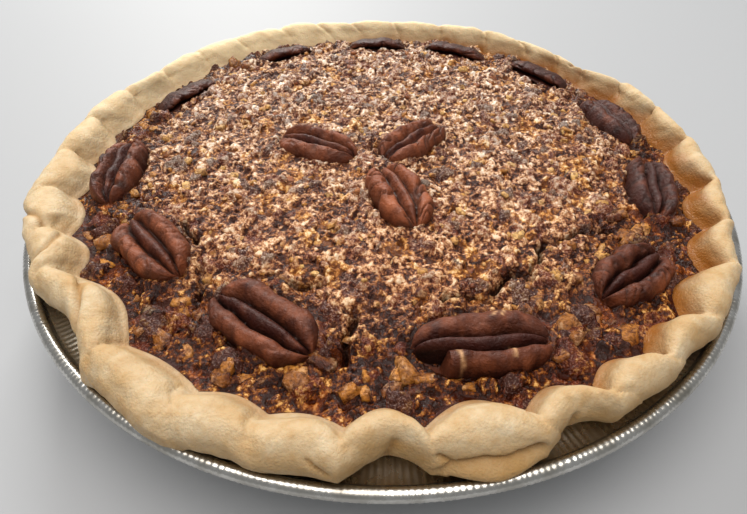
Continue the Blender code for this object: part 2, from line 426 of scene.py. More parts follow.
@dataclass(frozen=True)
class Finish:
    """A surface's name and its plain shader values. Each kind of surface adds its own pattern.

    Attributes:
        name: The material's name.
        colour: Its plain sRGB colour.
        grains: Noises of the pattern, each as its size in mm, its detail and its roughness.
        notes: Names of the numbers stored on the piece that the pattern reads.
    """

    name: str
    roughness: float = 0.5
    metallic: float = 0.0
    specular: float = 0.5
    coat: float = 0.0
    coat_roughness: float = 0.1
    subsurface: float = 0.0
    colour: str = "#FFFFFF"
    grains: Grains = ()
    notes: tuple[str, ...] = ()

    def build(self) -> bpy.types.Material:
        """Makes the material.

        Returns:
            The material, with its pattern.
        """
        made_of = bpy.data.materials.new(self.name)
        made_of.use_nodes = True
        tree = made_of.node_tree
        shader = tree.nodes["Principled BSDF"]
        shader.inputs["Base Color"].default_value = linear(self.colour)
        shader.inputs["Roughness"].default_value = self.roughness
        shader.inputs["Metallic"].default_value = self.metallic
        shader.inputs["Specular IOR Level"].default_value = self.specular
        shader.inputs["Coat Weight"].default_value = self.coat
        shader.inputs["Coat Roughness"].default_value = self.coat_roughness
        if self.subsurface:
            shader.inputs["Subsurface Weight"].default_value = self.subsurface
            shader.inputs["Subsurface Radius"].default_value = (1.0, 0.5, 0.25)
            shader.inputs["Subsurface Scale"].default_value = 2.0 * MM
        place = add_node(tree, "TexCoord", {}, output="Object")
        grains = []
        for size, detail, fineness in self.grains:
            values = {"Vector": place, "Scale": 1 / (size * MM), "Detail": detail, "Roughness": fineness}
            grains.append(add_node(tree, "TexNoise", values))
        notes = [add_node(tree, "Attribute", {}, output="Fac", attribute_name=name) for name in self.notes]
        look = self.pattern(tree, place, grains, notes)
        joins = {"Base Color": look.colour, "Roughness": look.gloss, "Specular IOR Level": look.specular}
        if look.height is not None:
            relief = {"Height": look.height, "Distance": look.depth, "Strength": 1.0}
            joins["Normal"] = add_node(tree, "Bump", relief)
        for name, source in joins.items():
            if source is not None:
                tree.links.new(source, shader.inputs[name])
        return made_of

    def pattern(self, tree: bpy.types.NodeTree, place: object, grains: list, notes: list) -> Look:
        """The surface's own colour, gloss and relief. A plain surface has none.

        Args:
            tree: The material's node tree.
            place: Object coordinates.
            grains: One output for each of the finish's noises.
            notes: One output for each of its stored numbers.

        Returns:
            What the shader gets.
        """
        return Look()


@dataclass(frozen=True)
class RolledFoil(Finish):
    """Rolled aluminium foil, bright, with faint rolling streaks that the press has scuffed."""

    colour: str = "#D2D0CB"
    dull: str = "#9E9A90"
    # Painted shade and a painted brown reflection of the crust, laid on the flange by the stored shade.
    shade_and_crust_reflection: str = "#A5967A"
    grains: Grains = ((6.0, 4.0, 0.5), (1.2, 3.0, 0.5))
    notes: tuple[str, ...] = ("shade",)

    def pattern(self, tree: bpy.types.NodeTree, place: object, grains: list, notes: list) -> Look:
        """Scuffs 6 mm across change the gloss, creases 1.2 mm across the relief, and the stored shade, which
        is painted shade and a painted reflection of the crust, darkens the tone.
        """
        scuff, crease = grains
        colour = add_node(tree, "ValToRGB", {0: scuff}, stops=((0.3, self.dull), (0.62, self.colour)))
        # Painted shade and painted reflection of the crust, where the shade note is stored.
        colour = add_node(tree, "Mix", {SHARE: notes[0], FIRST: colour, SECOND: self.shade_and_crust_reflection}, **MIXED)
        gloss = add_node(tree, "MapRange", {0: scuff, 1: 0.3, 2: 0.7, 3: 0.36, 4: 0.2})
        return Look(colour, gloss, crease, 0.05 * MM)


@dataclass(frozen=True)
class BakedPastry(Finish):
    """Shortcrust pastry, baked pale: matt, floury, with faint mottling, golden patches and a few pores."""

    pale: str = "#D0BFA0"
    warm: str = "#C3A880"
    freckle: str = "#DFC6A0"
    # Browning, with painted shade on the front of the rope.
    toast_and_shade: str = "#A98149"
    stain: str = "#925C26"
    # Painted shade in the pinches between flutes and along the creases.
    crease: str = "#9C7442"
    # Painted light: the back of the crust is painted paler.
    fresh: str = "#F8E4BA"
    grains: Grains = ((8.0, 3.0, 0.5), (2.2, 5.0, 0.5), (0.6, 3.0, 0.5))
    notes: tuple[str, ...] = ("fresh", "toast", "crease", "stain")

    def pattern(self, tree: bpy.types.NodeTree, place: object, grains: list, notes: list) -> Look:
        """Mottling 8 mm and 2 mm across; browning with painted shade on the front, painted light on the back,
        painted shade in the creases and syrup stain, all as stored; pores 0.6 mm across.
        """
        broad, fine, pores = grains
        colour = add_node(tree, "ValToRGB", {0: broad}, stops=((0.36, self.pale), (0.66, self.warm)))
        freckles = add_node(tree, "ValToRGB", {0: fine}, stops=((0.42, "#FFFFFF"), (0.72, self.freckle)))
        colour = add_node(tree, "Mix", {SHARE: 0.5, FIRST: colour, SECOND: freckles}, **TINTED)
        for share, tint in zip(notes, (self.fresh, self.toast_and_shade, self.crease, self.stain)):
            colour = add_node(tree, "Mix", {SHARE: share, FIRST: colour, SECOND: tint}, **MIXED)
        gloss = add_node(tree, "MapRange", {0: notes[3], 1: 0.0, 2: 1.0, 3: 0.6, 4: 0.3})
        height: object = 0.0
        for source, weight in ((broad, 0.15), (fine, 0.45), (pores, 0.4)):
            height = add_node(tree, "Math", {0: source, 1: weight, 2: height}, operation="MULTIPLY_ADD")
        return Look(colour, gloss, height, 0.65 * MM)


@dataclass(frozen=True)
class NutFilling(Finish):
    """Baked egg and sugar froth over chopped pecans: dry and frothy on top, dark and wet at the edge."""

    # Painted shade in the cracks, the pits, the hole and the line round each pecan half.
    hollow: str = "#200C05"
    pool: str = "#340F03"
    # The palest stops are partly pale froth and partly painted glints.
    dry_stops: Stops = (
        (0.34, "#34150A"), (0.46, "#683A22"), (0.55, "#986848"), (0.64, "#C49772"), (0.75, "#E6C6A6"),
        (0.90, "#FFF4E6"),
    )
    wet_stops: Stops = (
        (0.36, "#260A02"), (0.50, "#461C06"), (0.61, "#6C360E"), (0.74, "#9C6224"), (0.88, "#EAB468"),
    )
    flesh_stops: Stops = (
        (0.38, "#6E3A12"), (0.56, "#B9752E"), (0.70, "#E4AE62"), (0.86, "#FFE3B4"),
    )
    grains: Grains = ((1.7, 5.0, 0.62), (0.5, 3.0, 0.5), (6.0, 3.0, 0.5))
    notes: tuple[str, ...] = ("tone", "wet", "hollow", "tip", "pool")

    def pattern(self, tree: bpy.types.NodeTree, place: object, grains: list, notes: list) -> Look:
        """Froth 1.7 mm across, painted lighter on its tips and darker in its pits, with painted glints and
        painted shade in the recesses, over lumps of stored tone.
        """
        froth, speck, patch = grains
        tone, wet, hollow, tip, pool = notes
        bubble = add_node(tree, "TexVoronoi", {"Vector": place, "Scale": 1 / (1.25 * MM)}, output="Distance")
        northing = add_node(tree, "SeparateXYZ", {0: place}, output="Y")
        # Painted light and shade: the froth, tip and bubble terms make the froth lighter on its tips and
        # darker in its pits, and the speck term adds painted glints; patch and wet are the filling's own
        # tone.
        level: object = -1.04
        for source, weight in (
            (froth, 1.7), (speck, 0.55), (tip, 0.6), (patch, 0.75), (bubble, -0.3), (wet, -0.09)
        ):
            level = add_node(tree, "Math", {0: source, 1: weight, 2: level}, operation="MULTIPLY_ADD")
        foam, soaked, amber, mottle = (
            add_node(tree, "ValToRGB", {0: source}, stops=stops)
            for source, stops in (
                (level, self.dry_stops), (level, self.wet_stops), (level, self.flesh_stops),
                (speck, ((0.34, "#8E5A33"), (0.56, "#FFFFFF"))),
            )
        )
        in_front, sticky, as_amber, as_skin, as_char, bright, duller, film = (
            add_node(tree, "MapRange", {0: source, 1: low, 2: high, 3: start, 4: end})
            for source, low, high, start, end in (
                (northing, 30.0 * MM, -50.0 * MM, 0.0, 0.6), (wet, 0.0, 1.0, 0.0, 0.75),
                (tone, 0.20, 0.10, 0.0, 0.8), (tone, 0.70, 0.78, 0.0, 0.55), (tone, 0.87, 0.92, 0.0, 0.6),
                (speck, 0.54, 0.66, 0.0, 0.6), (wet, 0.0, 1.0, 1.0, 0.35),
                (pool, 0.0, 1.0, self.specular, 0.1),
            )
        )
        glint = add_node(tree, "Math", {0: bright, 1: duller}, operation="MULTIPLY")
        foam = add_node(tree, "Mix", {SHARE: in_front, FIRST: foam, SECOND: "#F4CE9C"}, **TINTED)
        amber = add_node(tree, "Mix", {SHARE: sticky, FIRST: amber, SECOND: "#B87A40"}, **TINTED)
        skin = add_node(tree, "Mix", {SHARE: 0.7, FIRST: "#74301A", SECOND: mottle}, **TINTED)
        skin = add_node(tree, "Mix", {SHARE: glint, FIRST: skin, SECOND: "#DDBFA8"}, **MIXED)
        char = add_node(tree, "Mix", {SHARE: glint, FIRST: "#30201C", SECOND: "#CFC0B8"}, **MIXED)
        colour = foam
        for share, tint in (
            (wet, soaked), (as_amber, amber), (as_skin, skin), (as_char, char), (hollow, self.hollow),
            (pool, self.pool),
        ):
            colour = add_node(tree, "Mix", {SHARE: share, FIRST: colour, SECOND: tint}, **MIXED)
        gloss = add_node(tree, "Math", {0: wet, 1: -0.16, 2: 0.30}, operation="MULTIPLY_ADD")
        height: object = 0.0
        for source, weight in ((froth, 0.75), (speck, 0.2), (bubble, -0.25)):
            height = add_node(tree, "Math", {0: source, 1: weight, 2: height}, operation="MULTIPLY_ADD")
        smoother = add_node(tree, "Math", {0: pool, 1: -0.6, 2: 1.0}, operation="MULTIPLY_ADD")
        height = add_node(tree, "Math", {0: height, 1: smoother}, operation="MULTIPLY")
        return Look(colour, gloss, height, 1.5 * MM, film)


@dataclass(frozen=True)
class ChoppedNut(Finish):
    """Chopped pecan: cream flesh gone golden in the syrup, or red-brown skin, under a film of dried froth."""

    dry_stops: Stops = (
        (0.0, "#EDBE74"), (0.35, "#CB8D44"), (0.6, "#9E5A2A"), (0.8, "#6E2F16"), (1.0, "#441A0E"),
    )
    wet_stops: Stops = (
        (0.0, "#CC8834"), (0.35, "#965A1E"), (0.6, "#642F10"), (0.8, "#461A09"), (1.0, "#2A0D05"),
    )
    grains: Grains = ((1.2, 5.0, 0.65), (3.5, 3.0, 0.5))
    notes: tuple[str, ...] = ("tone", "wet")

    def pattern(self, tree: bpy.types.NodeTree, place: object, grains: list, notes: list) -> Look:
        """Each piece has its stored tone, with mottling 1.2 mm across, darker where stored wet."""
        mottle, patch = grains
        tone, wet = notes
        dry, soaked, speckle, cover, froth = (
            add_node(tree, "ValToRGB", {0: source}, stops=stops)
            for source, stops in (
                (tone, self.dry_stops),
                (tone, self.wet_stops),
                (mottle, ((0.36, "#6E4425"), (0.56, "#FFFFFF"))),
                (patch, ((0.50, "#000000"), (0.62, "#FFFFFF"))),
                (mottle, ((0.4, "#5E3219"), (0.5, "#A8784A"), (0.62, "#EBCDA2"))),
            )
        )
        gloss, cling = (
            add_node(tree, "MapRange", {0: wet, 1: 0.0, 2: 1.0, 3: start, 4: end})
            for start, end in ((0.4, 0.15), (0.6, 0.35))
        )
        cover = add_node(tree, "Math", {0: cover, 1: cling}, operation="MULTIPLY")
        colour = dry
        for share, tint, way in ((wet, soaked, MIXED), (0.85, speckle, TINTED), (cover, froth, MIXED)):
            colour = add_node(tree, "Mix", {SHARE: share, FIRST: colour, SECOND: tint}, **way)
        return Look(colour, gloss, mottle, 0.9 * MM)


@dataclass(frozen=True)
class PecanSkin(Finish):
    """Toasted pecan skin: satin, wrinkled, with painted shade in the grooves and painted light on the ridges.
    """

    # Paler skin colour; the toast note also uses it as painted light on the raised lobes.
    ridge: str = "#A45C38"
    body: str = "#451B10"
    # Painted shade in the grooves, the wrinkles and on the underside.
    groove: str = "#150704"
    crack: str = "#D6A678"
    blotch: str = "#8A6A5E"
    grains: Grains = ((4.0, 4.0, 0.5), (0.8, 4.0, 0.6))
    notes: tuple[str, ...] = ("toast", "groove", "split")

    def pattern(self, tree: bpy.types.NodeTree, place: object, grains: list, notes: list) -> Look:
        """Toast as stored, with painted light on the raised lobes; painted shade in the grooves as stored;
        blotches 4 mm across, wrinkles 0.8 mm across.
        """
        broad, wrinkle = grains
        toast, groove, split = notes
        blotches = add_node(tree, "ValToRGB", {0: broad}, stops=((0.35, self.blotch), (0.62, "#FFFFFF")))
        colour: object = self.ridge
        for share, tint, way in (
            (toast, self.body, MIXED), (0.55, blotches, TINTED), (groove, self.groove, MIXED),
            (split, self.crack, MIXED),
        ):
            colour = add_node(tree, "Mix", {SHARE: share, FIRST: colour, SECOND: tint}, **way)
        gloss = add_node(tree, "MapRange", {0: wrinkle, 1: 0.3, 2: 0.7, 3: 0.38, 4: 0.55})
        height = add_node(tree, "Math", {0: wrinkle, 1: 0.7, 2: 0.0}, operation="MULTIPLY_ADD")
        height = add_node(tree, "Math", {0: broad, 1: 0.3, 2: height}, operation="MULTIPLY_ADD")
        return Look(colour, gloss, height, 0.8 * MM)


@dataclass(frozen=True)
class StudioFloor(Finish):
    """Plain pale painted board."""

    colour: str = "#A6A9AD"


# ---------------------------------------------------------------- foil tin


@dataclass
class FoilTin:
    """A nine-inch disposable pie tin: pressed pleats on wall and flange, and a rolled, crimped bead.

    Attributes:
        panels: Radius in mm of each corner of the base's pressed panels, and 1 where the base is raised.
    """

    rim_radius: float = 111.0 * MM
    rim_top: float = 30.0 * MM
    bead_radius: float = 1.8 * MM
    foil: float = 0.25 * MM
    base_radius: float = 83.0 * MM
    wall_top: float = 98.0 * MM
    flange_drop: float = 3.2 * MM
    flange_step: float = 2.0 * MM
    bend: float = 1.6 * MM
    panel_rise: float = 0.5 * MM
    panels: tuple[tuple[float, int], ...] = ((0, 1), (30, 1), (32, 0), (60, 0), (62, 1), (78, 1), (79, 0))
    pleats: int = 400
    steps: int = 2400
    pleat_depth: float = 0.18 * MM
    crimps: int = 480
    crimp_depth: float = 0.13 * MM

    def section(self) -> list[tuple[float, float, float, float]]:
        """Rings from the middle of the underside round the bead to the middle of the inside.

        Returns:
            Radius, height, share of the pleats' depth and share of the crimps' depth for each ring.
        """
        flange, bend, foil = self.rim_top - self.flange_drop, self.bend, self.foil
        bead = (self.rim_radius - self.bead_radius, self.rim_top - self.bead_radius)
        rings = [(radius * MM, self.panel_rise * raised, 0, 0) for radius, raised in self.panels]
        rings += [(self.base_radius, 0.0, 0, 0), (self.base_radius + 0.6 * bend, 0.35 * bend, 0.3, 0)]
        for share in (0.08, 0.3, 0.55, 0.8, 0.97):
            radius = self.base_radius + bend + (self.wall_top - self.base_radius - bend) * share
            rings.append((radius, bend + (flange - 2 * bend) * share, 0.5 + 0.4 * share, 0))
        rings += [(self.wall_top + 0.7 * bend, flange - 0.5 * bend, 0.9, 0)]
        rings += [(self.wall_top + bend + k * self.flange_step, flange - foil, 1.0, 0) for k in (0, 1, 2)]
        rings += [(106.0 * MM, flange - foil, 0.9, 0), (107.2 * MM, flange - foil + 0.1 * MM, 0.6, 0)]
        for angle in range(-120, 181, 30):
            turn = math.radians(angle)
            crimp = 1.0 if -40 < angle < 130 else 0.4
            out, up = self.bead_radius * math.cos(turn), self.bead_radius * math.sin(turn)
            rings.append((bead[0] + out, bead[1] + up, 0, crimp))
        rings += [(107.1 * MM, flange + 0.5 * MM, 0.5, 0.3), (106.2 * MM, flange + 0.1 * MM, 0.9, 0)]
        rings += [(self.wall_top + bend + k * self.flange_step, flange, 1.0, 0) for k in (2, 1, 0)]
        rings += [(self.wall_top - foil, flange - bend, 0.8, 0)]
        rings += [(self.base_radius + 0.8 * bend, bend + foil, 0.5, 0)]
        inside = self.panel_rise + foil
        rings += [(self.base_radius - foil, inside, 0.2, 0), (0.0, inside, 0, 0)]
        return rings

    def build(self, finish: bpy.types.Material) -> None:
        """Shapes the tin ring by ring and replaces the plain solid.

        Args:
            finish: The piece's material.
        """
        rings = np.array(self.section())
        piece, bearing, ring = sleeve("foil_tin", self.steps, len(rings))
        radius, height, pleat, crimp = rings[ring].T
        wander = clouds(bearing, radius * 0, 5.0, 3) * 0.8
        wave = np.cos(np.radians(bearing) * self.pleats + wander)
        uneven = 0.75 + 0.45 * clouds(bearing, radius * 0, 2.1, 5)
        height = height + pleat * self.pleat_depth * (wave - 1.0) * 0.5 * uneven
        pressed = np.cos(np.radians(bearing) * self.crimps + 2.0 * clouds(bearing, bearing * 0, 1.4, 9))
        pressed = 0.5 - 0.5 * pressed * (0.65 + 0.35 * clouds(bearing, bearing * 0, 0.9, 10))
        bead = np.array([self.rim_radius - self.bead_radius, self.rim_top - self.bead_radius])
        squeeze = 1.0 - crimp * self.crimp_depth / self.bead_radius * pressed
        radius = np.where(crimp > 0, bead[0] + (radius - bead[0]) * squeeze, radius)
        height = np.where(crimp > 0, bead[1] + (height - bead[1]) * squeeze, height)
        turn = np.radians(bearing)
        # Painted shade and a painted reflection of the crust on the flange, strongest at the front and in the
        # troughs of the pleats.
        flange = step_up(100.5 * MM, 102.0 * MM, radius) * (1.0 - step_up(106.6 * MM, 107.6 * MM, radius))
        front = np.maximum(0.25, bell(turn_between(bearing, 275.0), 80.0))
        note(piece, "shade", flange * front * (0.36 - 0.16 * wave))
        height = np.maximum(height, 0.0)
        move_points(piece, np.stack([radius * np.cos(turn), radius * np.sin(turn), height], axis=1))
        closed_up(piece)
        settle(piece, finish, "foil", "tin", angle=35.0)


# ---------------------------------------------------------------- pastry


@dataclass
class Crust:
    """Pastry shell whose rope edge is pinched into uneven flutes, with a fold at the front left and a flap.

    A place on the rope is given by its bearing and its section angle: 0 faces out, 90 up and 150 inwards.

    Attributes:
        floor: Height of the shell's underside.
        shell: Its thickness.
        flange: Height of the tin's flange, on which the rope lies.
        underside: Height of the rope's underside.
        crest: Height of its top.
        syrup_line: Height of the syrup at its inner face.
        lean: How far the inner face leans out over its height.
        wall_lean: Run over rise of the tin's wall.
        steps: Points round each ring of the mesh.
        rows: Number of rings.
        last_corner: Number of the section's last corner, counted from 0.
        pinches: Bearing of each pinch, and in mm the inner face's radius there, the inward bulge of the flute
            after it, the outer radius at the pinch and the depth of the notch outside that flute.
        creases: Depth and width in mm and line in (bearing, section angle) of each crease.
        swellings: Bearing, section angle, size in mm and reach in bearing and in angle of each swelling.
    """

    floor: float = 0.9 * MM
    shell: float = 4.6 * MM
    wall_lean: float = 0.57
    base_radius: float = 83.0 * MM
    flange: float = 27.2 * MM
    underside: float = 28.1 * MM
    crest: float = 39.6 * MM
    syrup_line: float = 31.4 * MM
    lean: float = 5.2 * MM
    steps: int = 1240
    rows: int = 78
    last_corner: int = 19
    pinches: tuple[tuple[float, ...], ...] = (
        (5, 97.0, 4.0, 107.0, 1.5), (16, 97.0, 2.8, 106.3, 0.0), (27, 97.0, 2.6, 107.0, 0.8),
        (36, 94.4, 1.8, 101.0, 0.0), (44, 95.4, 2.2, 103.5, 0.3), (54, 96.2, 2.6, 105.4, 0.3),
        (64, 96.6, 2.6, 106.5, 0.3), (75, 96.8, 2.6, 106.5, 0.5), (87, 96.8, 2.4, 106.0, 0.3),
        (97, 96.8, 2.2, 105.8, 0.0), (106, 96.8, 2.2, 107.8, 0.0), (115, 97.0, 2.2, 110.0, 0.3),
        (126, 96.6, 2.2, 110.4, 0.5), (137, 96.2, 2.2, 109.8, 0.3), (147, 95.8, 2.2, 107.4, 3.2),
        (158, 95.0, 2.8, 107.8, 0.0), (169, 94.8, 3.4, 108.0, 0.5), (180, 94.8, 4.6, 108.0, 0.8),
        (191, 94.8, 3.6, 110.8, 0.0), (202, 94.8, 4.4, 108.5, 0.8), (213, 94.8, 6.4, 107.8, 4.2),
        (231, 94.8, 2.2, 108.0, 0.0), (245, 94.8, 2.4, 110.9, 0.6), (255, 94.8, 2.2, 109.5, 0.6),
        (265, 94.8, 5.2, 109.0, 4.4), (275, 94.8, 5.6, 106.2, 0.0), (288, 95.2, 4.4, 107.0, 3.2),
        (298, 96.4, 4.4, 106.8, 0.5), (308, 97.2, 4.6, 107.0, 1.4), (318, 97.4, 5.2, 108.0, 0.4),
        (330, 97.4, 4.6, 108.0, 1.6), (341, 97.2, 5.2, 106.2, 0.3), (352, 97.2, 5.8, 106.4, 0.3),
    )
    creases: tuple[tuple[float, float, tuple[tuple[float, float], ...]], ...] = (
        (1.3, 1.1, ((194, -45), (196, 10), (199, 70), (203, 135))),
        (1.9, 1.3, ((217, 150), (221, 95), (225, 45), (227, -10), (228, -60))),
        (1.0, 1.0, ((205, 140), (209, 90), (210, 45))),
        (0.9, 0.5, ((262, 34), (264, 8))),
        (1.0, 0.5, ((275.5, 30), (277, 2))),
        (2.4, 1.1, ((275.5, -26), (278, -8), (280.5, -1), (283, -9), (287, 12))),
        (0.9, 1.2, ((270, -35), (271, 25))),
        (1.0, 1.0, ((291.5, -50), (292.5, 20))),
        (0.8, 1.1, ((36, -30), (37, 60), (39, 120))),
    )
    swellings: tuple[tuple[float, float, float, float, float], ...] = (
        (281.5, -40.0, 5.6, 5.6, 30.0), (231.5, -35.0, 1.8, 1.5, 30.0), (224.0, 140.0, 0.9, 4.0, 35.0),
        (242.0, 60.0, 0.8, 6.0, 60.0), (257.0, 20.0, 0.7, 3.0, 50.0), (322.0, 60.0, 0.6, 4.0, 50.0),
    )

    def flute(self, bearing: Field) -> tuple[Field, Field]:
        """Share of the way across the flute at a bearing, and the flute's number.

        Args:
            bearing: Bearings in degrees.

        Returns:
            The share from 0 to 1, and the number of the pinch before it.
        """
        starts = np.array([pinch[0] for pinch in self.pinches])
        index = (np.searchsorted(starts, bearing % 360.0, side="right") - 1) % len(starts)
        width = (np.roll(starts, -1) - starts) % 360.0
        return ((bearing - starts[index]) % 360.0) / width[index], index

    def inner_edge(self, bearing: Field, height: Field) -> Field:
        """Radius of the inner face, which leans outwards above the syrup line.

        Args:
            bearing: Bearings in degrees.
            height: Height of each place.

        Returns:
            One radius for each place.
        """
        share, index = self.flute(bearing)
        low = np.array([pinch[1] for pinch in self.pinches])
        low = (low[index] + (np.roll(low, -1) - low)[index] * share) * MM
        bulge = np.array([pinch[2] for pinch in self.pinches])[index] * MM
        rise = step_up(26.0 * MM, self.crest, height)
        reach = bulge * step_up(24.0 * MM, 33.0 * MM, height)
        return low + self.lean * rise - reach * np.sin(np.pi * share) ** 0.9

    def rope(self, bearing: Field) -> tuple[Field, Field, Field, Field]:
        """The rope's middle radius and height and its half width and half height at each bearing.

        Args:
            bearing: Bearings in degrees.

        Returns:
            Middle radius, middle height, half width and half height.
        """
        share, index = self.flute(bearing)
        outer = np.array([pinch[3] for pinch in self.pinches])
        notch = np.array([pinch[4] for pinch in self.pinches])[index]
        out = outer[index] + (np.roll(outer, -1) - outer)[index] * step_up(0.0, 1.0, share)
        out = (out - notch * np.sin(np.pi * share)) * MM
        inner = self.inner_edge(bearing, bearing * 0 + self.crest)
        top = self.crest + 1.2 * MM * np.maximum(0.0, np.sin(np.radians(bearing)))
        top = top - 0.9 * MM * (1.0 - np.sin(np.pi * share)) + 0.5 * MM * np.sin(np.radians(7 * bearing))
        return (inner + out) / 2, (self.underside + top) / 2, (out - inner) / 2, (top - self.underside) / 2

    def corners(self, bearing: Field) -> Field:
        """The section's corner points for each bearing, as an array of shape (corner, 2, bearings).

        Args:
            bearing: Bearings in degrees.

        Returns:
            Radius and height, as an array of shape (corners, 2, bearings).
        """
        zero = bearing * 0.0
        middle, level, wide, high = self.rope(bearing)
        syrup = zero + self.syrup_line
        rows = [
            (zero, zero + self.floor),
            (zero + self.base_radius - 1.2 * MM, zero + self.floor),
            (zero + 96.7 * MM, zero + self.flange - 1.0 * MM),
            (zero + 100.4 * MM, zero + self.flange + 0.3 * MM),
        ]
        for angle in (-80, -52, -26, 0, 26, 50, 72, 92, 112, 134, 155):
            turn = math.radians(angle)
            rows.append((middle + wide * math.cos(turn), level + high * math.sin(turn)))
        inner = self.inner_edge(bearing, syrup)
        rows += [
            (0.45 * inner + 0.55 * (middle - 0.94 * wide), 0.5 * (syrup + level + 0.3 * high)),
            (inner, syrup),
            (zero + 93.0 * MM, zero + 26.0 * MM),
            (zero + self.base_radius - self.shell, zero + self.floor + self.shell),
            (zero, zero + self.floor + self.shell),
        ]
        return np.array(rows)

    def build(self, finish: bpy.types.Material) -> None:
        """Shapes the shell ring by ring, then adds overlaps, creases, the flap, lumps, the browning and
        painted light and shade.

        Args:
            finish: The piece's material.
        """
        piece, bearing, ring = sleeve("crust_pastry", self.steps, self.rows)
        around = np.arange(self.steps) * 360.0 / self.steps
        sections = curve_through(self.corners(around), self.rows)
        step = np.round(bearing / 360.0 * self.steps).astype(int) % self.steps
        radius, height = sections[ring, 0, step], sections[ring, 1, step]
        middle, level, wide, high = self.rope(bearing)
        angle = np.degrees(np.arctan2((height - level) / high, (radius - middle) / wide))
        angle = np.where(angle < -110, angle + 360, angle)
        corner = ring / (self.rows - 1) * self.last_corner
        wall = self.base_radius + self.wall_lean * (height - self.floor) - 0.3 * MM
        radius = np.where(corner < 2.0, np.minimum(radius, wall), radius)
        rope = step_up(3.2, 4.6, corner) * (1.0 - step_up(14.2, 16.0, corner))
        turn = np.radians(bearing)
        px, py = radius * np.cos(turn) + 0.6 * height, radius * np.sin(turn) + 0.8 * height
        skew = (angle - 90.0) * 0.022 * (1.0 + clouds(px, py, 30 * MM, 11))
        seam = bearing + skew + 0.9 * clouds(px, py, 6 * MM, 12)
        share, index = self.flute(seam)
        count = len(self.pinches)
        lap = 0.1 + 0.9 * lattice(index, index * 0, 17)
        grow = 0.6 * lap * (share**3 - 0.3)
        beside = np.minimum(share, 1.0 - share) * 19.0
        pressed = 0.5 + 0.7 * lattice((index + np.round(share).astype(int)) % count, index * 0, 19)
        inwards = step_up(20.0, 75.0, angle) * (1.0 - step_up(150.0, 178.0, angle))
        grow = grow - pressed * bell(beside, 1.6) * (0.1 + 0.75 * inwards)
        grow = grow + 0.6 * rough(px, py, 9.0 * MM, 21, 2) + 0.24 * rough(px, py, 3.2 * MM, 24, 2)
        # Painted shade in the pinches between flutes, on the faces that turn inwards.
        dark = 0.22 * pressed * bell(beside, 0.8) * inwards
        for depth, width, line in self.creases:
            arc = [(0.0, math.radians(place) * 105.0, math.radians(turned) * 6.0) for place, turned in line]
            start = line[0][0]
            across = np.radians(turn_between(bearing, start)) * 105.0 + math.radians(start) * 105.0
            away = away_from_line(across, np.radians(angle) * 6.0, tuple((a, b) for _, a, b in arc))
            grow = grow - depth * bell(away, width)
            # Painted shade along the crease.
            dark = np.maximum(dark, 0.8 * bell(away, 0.6 * width))
        lift = height * 0.0
        for place, facing, size, wide_by, tall in self.swellings:
            swell = size * bell(turn_between(bearing, place), wide_by)
            swell = swell * bell(turn_between(angle, facing), tall)
            grow = grow + swell
            lift = lift + swell * (0.62 if facing < 0 else 0.0)
        out_r, out_z = (radius - middle) / wide, (height - level) / high
        away = np.maximum(np.hypot(out_r, out_z), 1e-6)
        grow = grow * rope * MM
        radius = np.clip(radius + grow * out_r / away, 0.0, 110.7 * MM)
        height = height + grow * out_z / away + lift * rope * MM
        on_bead = step_up(105.5 * MM, 107.0 * MM, radius) * rope
        height = np.maximum(height, self.floor + on_bead * (30.25 * MM - self.floor))
        height = np.minimum(height, 42.5 * MM)
        side = np.maximum(bell(turn_between(bearing, 345.0), 62.0), bell(turn_between(bearing, 48.0), 52.0))
        inside = step_up(0.0, 1.6, corner - 13.2 + 1.7 * side) * (1.0 - step_up(17.0, 18.0, corner))
        reach = self.syrup_line + (5.6 + 5.4 * side) * MM
        ragged = height + 2.4 * MM * rough(px, py, 6.0 * MM, 31, 2)
        soak = 1.0 - step_up(self.syrup_line - 1.0 * MM, reach, ragged)
        right = 0.35 + 0.95 * side
        # Painted shade: the front of the rope, most of all its outer and lower faces, gets more of the toast
        # colour; the patches below are real browning.
        front = bell(turn_between(bearing, 290.0), 75.0) * (1.25 - step_up(0.0, 60.0, angle))
        patches = step_up(0.1, 0.9, rough(px, py, 10.0 * MM, 41, 3))
        toast = rope * (0.6 * front + 0.28 * patches + 0.15 * step_up(60.0, 120.0, angle))
        note(piece, "stain", np.clip(inside * soak * right, 0, 1))
        note(piece, "toast", np.clip(toast, 0, 1))
        # The crease note is painted shade in the pinches and creases.
        note(piece, "crease", np.clip(dark * rope, 0, 1))
        # Painted light on the back of the crust, strongest at bearing 100.
        note(piece, "fresh", 0.95 * bell(turn_between(bearing, 100.0), 62.0))
        move_points(piece, np.stack([radius * np.cos(turn), radius * np.sin(turn), height], axis=1))
        closed_up(piece)
        settle(piece, finish, "pastry", "crust")


# ---------------------------------------------------------------- pecan halves


